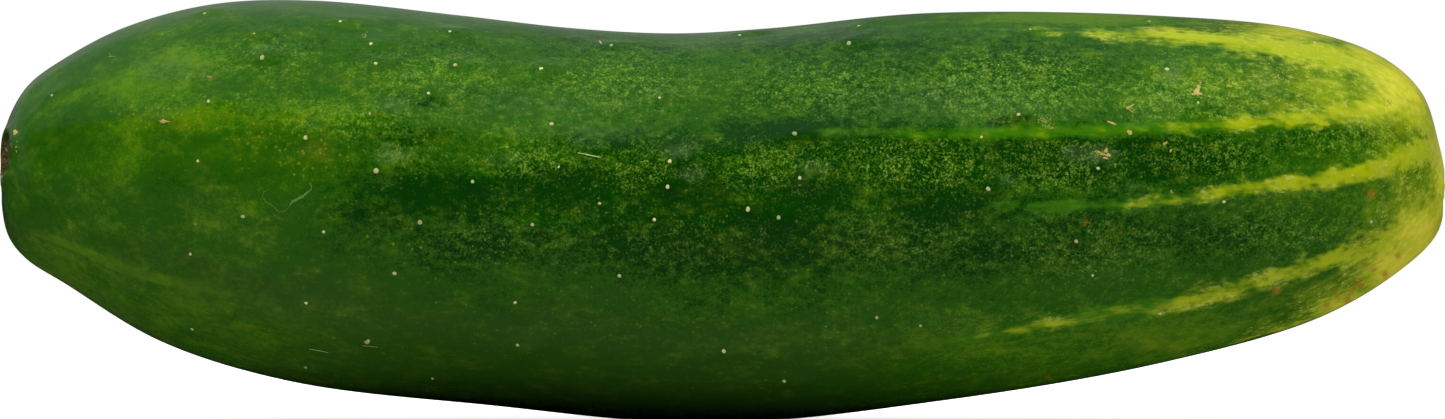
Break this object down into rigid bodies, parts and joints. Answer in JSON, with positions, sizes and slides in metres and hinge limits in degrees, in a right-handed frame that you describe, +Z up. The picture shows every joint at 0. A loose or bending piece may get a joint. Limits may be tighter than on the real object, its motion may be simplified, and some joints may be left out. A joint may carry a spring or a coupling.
{
  "type": "cucumber",
  "caption": "Whole slicing cucumber lying on its belly, gently bent, with faint ribs, low warts, a dished stem scar and a blunt blossom end.",
  "frame": {"origin": "under the middle of the fruit's box, on the surface it rests on", "axes": "+X from the stem end to the blossom end, along the length; +Z up; -Y is the front, the side with the most marks"},
  "size_m": [0.1998, 0.055, 0.058],
  "materials": {
    "skin": "waxy cucumber skin: mottled deep green, paler streaks that grow towards a yellow-green blossom end, low satin gloss"
  },
  "bodies": {
    "root": {"cucumber": "skin"}
  },
  "joints": []
}
